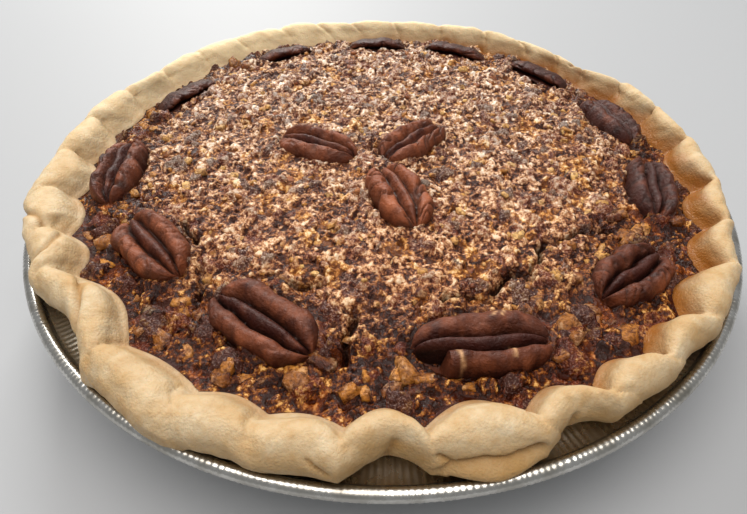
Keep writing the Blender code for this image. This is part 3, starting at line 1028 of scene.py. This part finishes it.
@dataclass(frozen=True)
class Seat:
    """Where a pecan half lies: its middle, its own axes and its size, read from the frame's solid."""

    node: str
    middle: Vector
    along: Vector
    across: Vector
    up: Vector
    length: float
    width: float

    @classmethod
    def of(cls, node: str) -> "Seat":
        """The seat of the solid with this node name.

        Args:
            node: The node's name.

        Returns:
            Its seat.
        """
        points = points_of(bpy.data.objects[node])
        spread = points[:, None, :] - points[None, :, :]
        first, second = np.unravel_index(np.argmax((spread**2).sum(axis=2)), (len(points), len(points)))
        middle = (points[first] + points[second]) / 2
        along = points[second] - points[first]
        length = float(np.linalg.norm(along))
        along = along / length
        rest = points - middle
        rest = rest - np.outer(rest @ along, along)
        _, _, axes = np.linalg.svd(rest, full_matrices=False)
        across = axes[0]
        up = np.cross(along, across)
        if up[2] < 0:
            across, up = -across, -up
        width = float(np.ptp(rest @ across))
        return cls(node, Vector(middle), Vector(along), Vector(across), Vector(up), length, width)

    def local(self, x: Field, y: Field) -> tuple[Field, Field]:
        """Places in the plan as shares of the half length along and of the half width across.

        Args:
            x: Places across.
            y: Places along.

        Returns:
            The share along and the share across.
        """
        dx, dy = x - self.middle.x, y - self.middle.y
        flat_along = Vector((self.along.x, self.along.y)).normalized()
        u = (dx * flat_along.x + dy * flat_along.y) / (self.length / 2)
        v = (-dx * flat_along.y + dy * flat_along.x) / (self.width / 2)
        return u, v


class Toast(Enum):
    """How dark a pecan half is."""

    LIGHT = 0.32
    WARM = 0.6
    MEDIUM = 0.78
    DARK = 1.05


@dataclass(frozen=True)
class NutLook:
    """What makes one pecan half differ from the next.

    Attributes:
        toast: How dark it is.
        shift: How far its grooves lie off the middle, in half widths.
        depth: Depth of the grooves, as a share of the nut's height.
        wrinkle: Strength of the cross wrinkles.
        cut: Where along the nut its near lobe stops short, from -1 to 1.
        splits: Pale hairline cracks, as lines of (share along, share across).
    """

    toast: Toast = Toast.DARK
    shift: float = 0.0
    depth: float = 0.6
    wrinkle: float = 1.0
    cut: float = -1.0
    splits: tuple[tuple[tuple[float, float], ...], ...] = ()


@dataclass
class PecanHalf:
    """A pecan half, round side up: two long lobes, a ridge between two deep grooves, and cross wrinkles."""

    seat: Seat
    seed: int
    look: NutLook
    height: float = 7.4 * MM
    slimness: float = 0.93
    sink: float = 0.6 * MM
    rings: int = 80
    segments: int = 120

    def build(self, finish: bpy.types.Material) -> None:
        """Shapes a ball into the nut and lays it in its seat.

        Args:
            finish: The piece's material.
        """
        seat, seed, look = self.seat, self.seed, self.look
        clear_selection()
        bpy.ops.mesh.primitive_uv_sphere_add(segments=self.segments, ring_count=self.rings, radius=1.0)
        piece = made("pecan_half" + seat.node.removeprefix("pecan"))
        ball = points_of(piece)
        u, side, rise = ball[:, 2], ball[:, 1], ball[:, 0]
        radius = np.maximum(np.hypot(side, rise), 1e-6)
        side, rise = side / radius, rise / radius
        upper, hand = rise > 0, np.sign(side)
        v = hand * np.abs(side) ** 0.92
        swell = np.maximum(1.0 - np.abs(u) ** 3.6, 0.0) ** 0.5
        scallop = 0.085 * clouds(u * 3.1, hand * 4.0, 1.0, seed)
        half = swell * (1.0 + scallop + 0.05 * clouds(u * 6.5, hand * 4.0, 1.0, seed + 1))
        soft = rough(u * 3.0, v * 2.2, 1.0, seed + 8, 2)
        wave = 0.09 * clouds(u * 2.0, u * 0.0, 1.0, seed + 2) + look.shift
        off = v - wave
        gap = 0.27 * (1.0 - 0.4 * u * u) + 0.03 * clouds(u * 4.0, u * 0 + 3, 1.0, seed + 3)
        across = np.clip((np.abs(off) - gap) / (1.0 - hand * wave - gap), 0.0, 1.0)
        lobe = 0.86 * (4.0 * across * (1.0 - across)) ** (0.42 - 0.10 * across)
        ridge = 0.78 * np.sqrt(np.clip(1.0 - (off / gap) ** 2, 0.0, 1.0))
        valley = bell(np.abs(off) - gap, 0.06) * upper * (1.0 - step_up(0.93, 1.0, np.abs(u)))
        slant = u * 5.5 + 1.1 * np.abs(off) + 0.5 * clouds(u * 4, v * 3, 1.0, seed + 5)
        fold = clouds(slant, v * 1.6 + 5.0, 1.0, seed + 6)
        fissure = bell(fold, 0.16) * step_up(0.0, 0.25, across) * look.wrinkle
        fine = rough(u * 16.0, v * 5.0, 1.0, seed + 7, 2)
        lift = upper * step_up(0.0, 0.45, rise)
        crown = np.maximum(np.maximum(lobe, ridge), (1.0 - look.depth) * np.maximum(rise, 0.0) ** 0.6)
        whole = np.where(hand < 0, step_up(look.cut - 0.03, look.cut + 0.05, u + 0.06 * soft), 1.0)
        crown = np.where(off < -gap, crown * whole - 0.35 * (1.0 - whole), crown)
        top = crown * (1.0 + 0.13 * soft * lift) + 0.03 * fine * lift - 0.10 * fissure * lift
        bottom = -np.maximum(-rise, 0.0) ** 0.8 * 0.42
        bow = (0.10 * lattice(np.int64(seed), np.int64(1), 3) - 0.05) * (1.0 - u * u)
        x = (0.97 * u - 0.055 * u**5 * bell(off, 0.22) * upper) * seat.length / 2
        y = (v * half + bow) * seat.width * self.slimness / 2
        z = np.where(upper, top, bottom) * swell**0.9 * self.height - self.sink
        frame = np.array([seat.along, seat.across, seat.up])
        move_points(piece, np.stack([x, y, z], axis=1) @ frame + np.array(seat.middle))
        split = u * 0.0
        for line in look.splits:
            split = np.maximum(split, bell(away_from_line(u, v + 0.05 * fine, line), 0.022) * upper)
        # The toast is chosen per nut and varies at random, with painted light on the raised lobes.
        shade = look.toast.value + 0.30 * soft - 0.45 * (lobe - 0.55) + 0.2 * fine
        note(piece, "toast", np.clip(shade, 0, 1))
        # Painted shade in the grooves, in the wrinkles and on the underside.
        groove = 0.95 * valley + 0.45 * fissure * lift + 0.35 * (1.0 - step_up(-0.1, 0.3, rise))
        note(piece, "groove", np.clip(groove, 0, 1))
        note(piece, "split", np.clip(0.85 * split, 0, 1))
        closed_up(piece)
        settle(piece, finish, "pecan_skin", seat.node)


# ---------------------------------------------------------------- filling


@dataclass
class FillingSurface:
    """The filling's top: plateau, shoulder, lumps, froth, cracks, syrup and the hollows beside the nuts.

    Attributes:
        lumps: Cell size in mm, seed and skew of each kind of lump, its least height and the range above that,
            how far it falls to its edge, and the width of the gap round it as a share of its size.
        cracks: Strength of each crack and its line in mm.
    """

    crust: Crust
    seats: list[Seat]
    plateau: float = 36.4 * MM
    syrup_line: float = 31.4 * MM
    centre_y: float = 12.0 * MM
    shoulder_inner: float = 61.0 * MM
    shoulder_outer: float = 97.0 * MM
    band: float = 9.0 * MM
    crack_depth: float = 4.5 * MM
    hole: tuple[float, float] = (-1.5 * MM, 4.5 * MM)
    hole_depth: float = 5.5 * MM
    lip: float = 0.8 * MM
    under_nuts: float = 3.0 * MM
    lumps: tuple[tuple[float, ...], ...] = (
        (6.8, 81, 0.0, -0.3, 1.4, 0.6, 0.22), (3.7, 82, 0.0, -0.3, 1.3, 0.6, 0.25),
        (1.9, 83, 0.4, 0.2, 0.8, 1.0, 0.3),
    )
    cracks: tuple[tuple[float, tuple[tuple[float, float], ...]], ...] = (
        (1.0, ((-49, -50), (-47, -58), (-46, -70))),
        (0.8, ((-32, -54), (-24, -57), (-15, -58))),
        (0.9, ((15, -62), (27, -61), (33, -53), (40, -54), (43, -44), (55, -36), (66, -35))),
        (0.9, ((-7, -67), (-9, -74), (-10, -80))),
        (0.9, ((-59, -32), (-54, -39), (-51, -45))),
        (0.9, ((-80, 1), (-79, -6), (-78, -13))),
    )

    def edge(self, x: Field, y: Field) -> Field:
        """Distance in from the crust's inner face.

        Args:
            x: Places across.
            y: Places along.

        Returns:
            One distance for each place.
        """
        bearing = np.degrees(np.arctan2(y, x)) % 360.0
        return self.crust.inner_edge(bearing, x * 0 + self.syrup_line) - np.hypot(x, y)

    def base(self, x: Field, y: Field) -> Field:
        """Height without any lumps.

        Args:
            x: Places across.
            y: Places along.

        Returns:
            One height for each place.
        """
        fall = 1.0 - step_up(self.shoulder_inner, self.shoulder_outer, np.hypot(x, y - self.centre_y))
        back = step_up(20.0 * MM, 75.0 * MM, y)
        fall = np.maximum(fall, 0.65 * back) * step_up(0.0, self.band * (1.0 - 0.75 * back), self.edge(x, y))
        return self.syrup_line + (self.plateau - self.syrup_line) * fall

    def wetness(self, x: Field, y: Field) -> Field:
        """From 0 on the dry plateau to 1 in the syrup near the crust.

        Args:
            x: Places across.
            y: Places along.

        Returns:
            One share for each place.
        """
        reach = np.hypot(x, y - self.centre_y) + 7.0 * MM * rough(x, y, 10.0 * MM, 51, 2)
        return step_up(68.0 * MM, 92.0 * MM, reach)

    def beside_nuts(self, x: Field, y: Field) -> Field:
        """The least distance out from any pecan half's outline, where 1 is the outline."""
        return np.min([np.hypot(*seat.local(x, y)) for seat in self.seats], axis=0)

    def relief(self, x: Field, y: Field) -> dict[str, Field]:
        """Everything about the surface at these places.

        Args:
            x: Places across, in metres.
            y: Places along, in metres.

        Returns:
            Fields "height" in metres, and "tone", "wet", "hollow", "tip" and "pool" from 0 to 1.
        """
        wet, edge = self.wetness(x, y), self.edge(x, y)
        wx = x + 1.5 * MM * rough(x, y, 4.0 * MM, 71, 2)
        wy = y + 1.5 * MM * rough(x, y, 4.0 * MM, 75, 2)
        lumps, tags = [], []
        for size, seed, skew, low, gain, fall, gap in self.lumps:
            near, later, tag = cells(wx + skew * wy, wy, size * MM, seed)
            dome = (1.0 - fall * np.minimum(near, 1.0) ** 2) * (low + gain * tag)
            lumps.append(dome * step_up(0.0, gap, later - near))
            tags.append(tag)
        big, medium, small = lumps
        tag, mid_tag, _ = tags
        near, _, pit_tag = cells(x, y, 2.3 * MM, 84)
        pit = bell(near, 0.20) * (pit_tag > 0.72)
        froth = 0.5 * clouds(x, y, 1.15 * MM, 86) + 0.35 * clouds(x, y, 0.7 * MM, 87)
        broad = 0.5 * rough(x, y, 17.0 * MM, 85, 2) + 0.65 * rough(x, y, 7.5 * MM, 88, 2)
        chunks = (0.9 + 1.4 * wet) * big + (1.3 - 0.2 * wet) * medium + (0.45 - 0.1 * wet) * small
        rise = broad + chunks + (0.75 - 0.3 * wet) * froth - 1.3 * pit - 0.75 + 0.8 * wet
        wander_x = x + 1.5 * MM * rough(x, y, 3.0 * MM, 61, 2)
        wander_y = y + 1.5 * MM * rough(x, y, 3.0 * MM, 65, 2)
        crack = x * 0.0
        for strength, line in self.cracks:
            away = away_from_line(wander_x / MM, wander_y / MM, line)
            broken = 0.7 + 0.3 * np.sign(clouds(x, y, 5 * MM, 67))
            crack = np.maximum(crack, strength * bell(away, 0.85) * broken)
        hole = bell(np.hypot((x - self.hole[0]) / 1.3, y - self.hole[1]), 2.4 * MM)
        beside = self.beside_nuts(x, y)
        height = self.base(x, y) + rise * MM * (0.3 + 0.7 * step_up(0.0, 3.5 * MM, edge))
        height = height - self.crack_depth * crack - self.hole_depth * hole
        height = height + self.lip * bell(beside - 1.12, 0.14)
        height = height - self.under_nuts * (1.0 - step_up(0.78, 0.94, beside))
        film = self.syrup_line - 0.3 * MM + 0.25 * MM * clouds(x, y, 5.0 * MM, 95)
        film = film + 0.7 * MM * np.exp(-np.maximum(edge, 0) / (0.8 * MM))
        pool = step_up(-0.1 * MM, 0.3 * MM, film - height) * (1.0 - step_up(3.5 * MM, 7.0 * MM, edge))
        height = np.where(pool > 0, np.maximum(height, film), height)
        # Painted light on the lumps' tops and painted shade between them, stored as the tip note.
        fine = 0.65 * small + 0.3 * froth + 0.8 * medium + 0.3 * big - 1.2 * pit - 0.15
        tip = np.clip(0.25 + 0.5 * fine, 0, 1)
        # Painted shade in the cracks, the hole, the pits and a thin dark line round each pecan half.
        hollow = 0.95 * np.clip(1.4 * crack, 0, 1) + hole + 0.7 * pit + 0.5 * bell(beside - 1.0, 0.05)
        chance = lattice(np.int64(mid_tag * 999), np.int64(tag * 999), 5)
        tone = np.clip(np.where(chance < 0.35 + 0.4 * wet, tag, mid_tag), 0, 1)
        hollow = np.clip(hollow, 0, 1) * (1 - pool)
        return {"height": height, "tone": tone, "wet": wet, "hollow": hollow, "tip": tip, "pool": pool}


@dataclass
class Filling:
    """The baked filling as one closed piece, its top shaped by the surface."""

    surface: FillingSurface
    cells_across: int = 354
    reach: float = 97.5 * MM
    underside: float = 24.0 * MM

    def build(self, finish: bpy.types.Material) -> None:
        """Cuts a fine sheet to the crust's inner line, shapes it and closes it below.

        Args:
            finish: The piece's material.
        """
        clear_selection()
        across = self.cells_across
        bpy.ops.mesh.primitive_grid_add(x_subdivisions=across, y_subdivisions=across, size=2 * self.reach)
        piece = made("nut_filling")
        points = points_of(piece)
        outside = self.surface.edge(points[:, 0], points[:, 1]) < -1.0 * MM
        in_edit_mode(
            piece,
            lambda: bpy.ops.mesh.select_mode(type="VERT"),
            lambda: bpy.ops.mesh.select_all(action="DESELECT"),
        )
        piece.data.vertices.foreach_set("select", outside)
        bpy.ops.object.mode_set(mode="EDIT")
        bpy.ops.mesh.delete(type="VERT")
        bpy.ops.object.mode_set(mode="OBJECT")
        points = points_of(piece)
        fields = self.surface.relief(points[:, 0], points[:, 1])
        points[:, 2] = fields.pop("height")
        move_points(piece, points)
        for name, values in fields.items():
            note(piece, name, values)
        in_edit_mode(
            piece,
            lambda: bpy.ops.mesh.region_to_loop(),
            lambda: bpy.ops.mesh.extrude_region_move(TRANSFORM_OT_translate={"value": (0, 0, -6.0 * MM)}),
            lambda: bpy.ops.transform.resize(value=(0.97, 0.97, 0.0), center_override=(0, 0, self.underside)),
            lambda: bpy.ops.mesh.edge_face_add(),
        )
        settle(piece, finish, "nut_filling", "filling", angle=80.0)


@dataclass
class ChoppedNuts:
    """Loose chopped pecan pressed into the filling's top, small on the plateau and coarser in the syrup."""

    surface: FillingSurface
    spacing: float = 4.6 * MM
    bare_share: float = 0.45
    from_crust: float = 3.0 * MM
    smallest: float = 1.6 * MM
    spread: float = 2.6 * MM
    wet_extra: float = 4.6 * MM
    seed: int = 5

    def build(self, finish: bpy.types.Material) -> None:
        """Shapes each bit from one small ball and joins them all.

        Args:
            finish: The piece's material.
        """
        draw = np.random.default_rng(self.seed)
        reach = np.arange(-95.0 * MM, 95.0 * MM, self.spacing)
        x, y = (axis.ravel() for axis in np.meshgrid(reach, reach))
        x = x + draw.uniform(-0.5, 0.5, x.shape) * self.spacing
        y = y + draw.uniform(-0.5, 0.5, y.shape) * self.spacing
        free = (self.surface.edge(x, y) > self.from_crust) & (self.surface.beside_nuts(x, y) > 1.12)
        free = free & (draw.random(x.shape) > self.bare_share)
        x, y = x[free], y[free]
        fields = self.surface.relief(x, y)
        clear_selection()
        bpy.ops.mesh.primitive_uv_sphere_add(segments=8, ring_count=6, radius=1.0)
        piece = made("chopped_nuts")
        ball = points_of(piece)
        faces = [tuple(polygon.vertices) for polygon in piece.data.polygons]
        count, wet = len(x), fields["wet"]
        length = self.smallest + self.spread * draw.random(count) ** 1.8
        length = length + self.wet_extra * wet * draw.random(count)
        width, thickness = length * draw.uniform(0.45, 0.85, count), length * draw.uniform(0.4, 0.65, count)
        size = np.stack([length, width, thickness], axis=1) / 2
        blocky = np.sign(ball) * np.abs(ball) ** 0.62
        shapes = blocky[None] * (1.0 + 0.22 * draw.uniform(-1, 1, (count, len(ball), 1)))
        shapes = shapes * size[:, None, :]
        turns = draw.uniform(0, math.tau, count), draw.normal(0, 0.3, count), draw.normal(0, 0.35, count)
        (yaw, pitch, roll), (yaw_out, pitch_out, roll_out) = np.cos(turns), np.sin(turns)
        zero, one = np.zeros(count), np.ones(count)
        turn = np.array([[yaw, -yaw_out, zero], [yaw_out, yaw, zero], [zero, zero, one]])
        tip = np.array([[pitch, zero, pitch_out], [zero, one, zero], [-pitch_out, zero, pitch]])
        bank = np.array([[one, zero, zero], [zero, roll, -roll_out], [zero, roll_out, roll]])
        turned = np.einsum("ijn,jkn,kln,nvl->nvi", turn, tip, bank, shapes)
        sink = size[:, 2] * draw.uniform(0.3, 0.95, count)
        turned = turned + np.stack([x, y, fields["height"] - sink], axis=1)[:, None, :]
        tone = draw.random(count)[:, None] ** 1.3 * 0.75
        tone = tone + 0.25 * (ball[None, :, 1] > 0.25) * (draw.random((count, 1)) < 0.5)
        tone = tone + 0.06 * draw.uniform(-1, 1, (count, len(ball)))
        mesh = bpy.data.meshes.new("chopped_nuts")
        every = [tuple(index + k * len(ball) for index in face) for k in range(count) for face in faces]
        mesh.from_pydata(turned.reshape(-1, 3), [], every)
        piece.data = mesh
        note(piece, "tone", np.clip(tone, 0, 1).ravel())
        note(piece, "wet", np.repeat(wet, len(ball)))
        settle(piece, finish, "nut_filling", angle=75.0)


# ---------------------------------------------------------------- camera and studio


@dataclass
class Studio:
    """Plain pale floor, soft light from above and behind, and the camera.

    Attributes:
        lamps: Name, place, size, power in watts and sRGB colour of each lamp.
    """

    lens: float = 27.04
    eye: tuple[float, float, float] = (-2.6 * MM, -157.4 * MM, 139.7 * MM)
    elevation: float = 43.656
    roll: float = 0.303
    floor_size: float = 4.0
    sky: str = "#F0F1F2"
    sky_strength: float = 0.36
    lamps: tuple[tuple[str, tuple[float, ...], float, float, str], ...] = (
        ("window", (-0.25, 1.0, 0.75), 0.5, 14.0, "#FFFDF8"),
        ("ceiling", (-0.05, -0.1, 1.15), 1.1, 14.5, "#FFF8F0"),
    )

    def camera(self) -> None:
        """A near camera that looks down on the front of the pie."""
        clear_selection()
        tilt = Matrix.Rotation(math.radians(90.0 - self.elevation), 3, "X")
        tilt = tilt @ Matrix.Rotation(math.radians(self.roll), 3, "Z")
        bpy.ops.object.camera_add(location=self.eye, rotation=tilt.to_euler())
        camera = bpy.context.object
        camera.data.lens = self.lens
        camera.data.clip_start = 0.01
        bpy.context.scene.camera = camera

    def lamp(self, name: str, place: tuple[float, ...], size: float, power: float, colour: str) -> None:
        """Hangs a square soft light aimed at the pie.

        Args:
            name: The light's name.
            place: Where it hangs.
            size: Its width.
            power: Its power in watts.
            colour: Its sRGB colour.
        """
        clear_selection()
        aim = (Vector((0, 0, 0.03)) - Vector(place)).to_track_quat("-Z", "Y").to_euler()
        bpy.ops.object.light_add(type="AREA", location=place, rotation=aim)
        light = bpy.context.object
        light.name = name
        light.data.size = size
        light.data.energy = power
        light.data.color = linear(colour)[:3]

    def build(self, finish: bpy.types.Material) -> None:
        """Lays the floor, sets the sky and hangs the lights.

        Args:
            finish: The piece's material.
        """
        clear_selection()
        bpy.ops.mesh.primitive_plane_add(size=self.floor_size)
        floor = made("studio_floor")
        floor.data.materials.append(finish)
        world = bpy.data.worlds.new("studio_sky")
        world.use_nodes = True
        world.node_tree.nodes["Background"].inputs[0].default_value = linear(self.sky)
        world.node_tree.nodes["Background"].inputs[1].default_value = self.sky_strength
        bpy.context.scene.world = world
        for lamp in self.lamps:
            self.lamp(*lamp)
        bpy.context.scene.view_settings.view_transform = "Standard"


NUT_LOOKS = {
    "pecan_middle_1": NutLook(Toast.WARM, shift=0.05, wrinkle=0.8),
    "pecan_middle_2": NutLook(Toast.WARM, shift=-0.05, depth=0.5, wrinkle=1.4),
    "pecan_middle_3": NutLook(Toast.LIGHT, depth=0.6, wrinkle=1.7),
    "pecan_ring_08": NutLook(Toast.MEDIUM, depth=0.75, wrinkle=1.2),
    "pecan_ring_09": NutLook(
        Toast.MEDIUM, shift=-0.12, depth=0.8, wrinkle=0.3, cut=-0.55,
        splits=(
            ((-0.42, -0.35), (-0.36, -0.95)), ((0.36, -0.35), (0.33, -0.8)), ((0.30, 0.55), (0.36, 0.8)),
            ((0.18, 0.6), (0.24, 0.75)),
        ),
    ),
    "pecan_ring_10": NutLook(Toast.MEDIUM, shift=-0.16, depth=0.68, wrinkle=0.5),
    "pecan_ring_11": NutLook(Toast.WARM, shift=-0.05, wrinkle=0.9),
    "pecan_ring_12": NutLook(Toast.MEDIUM, wrinkle=1.2),
}


def main() -> None:
    """Builds the pie round the frame."""
    logging.basicConfig(level=logging.INFO, format="%(message)s")
    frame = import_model()
    studio = Studio()
    studio.camera()
    studio.build(StudioFloor("painted board", roughness=0.6).build())
    FoilTin().build(RolledFoil("rolled aluminium foil", metallic=1.0).build())
    crust = Crust()
    crust.build(BakedPastry("baked shortcrust", specular=0.25, subsurface=0.15).build())
    skin = PecanSkin("toasted pecan skin", specular=0.3, coat=0.06, coat_roughness=0.3).build()
    nodes = sorted(node for node in frame["nodes"] if node.startswith("pecan"))
    seats = [Seat.of(node) for node in nodes]
    for number, seat in enumerate(seats):
        PecanHalf(seat, seed=100 + 10 * number, look=NUT_LOOKS.get(seat.node, NutLook())).build(skin)
    surface = FillingSurface(crust, seats)
    Filling(surface).build(NutFilling("baked pecan filling", specular=0.28).build())
    ChoppedNuts(surface).build(ChoppedNut("chopped pecan", specular=0.45).build())


if __name__ == "__main__":
    main()
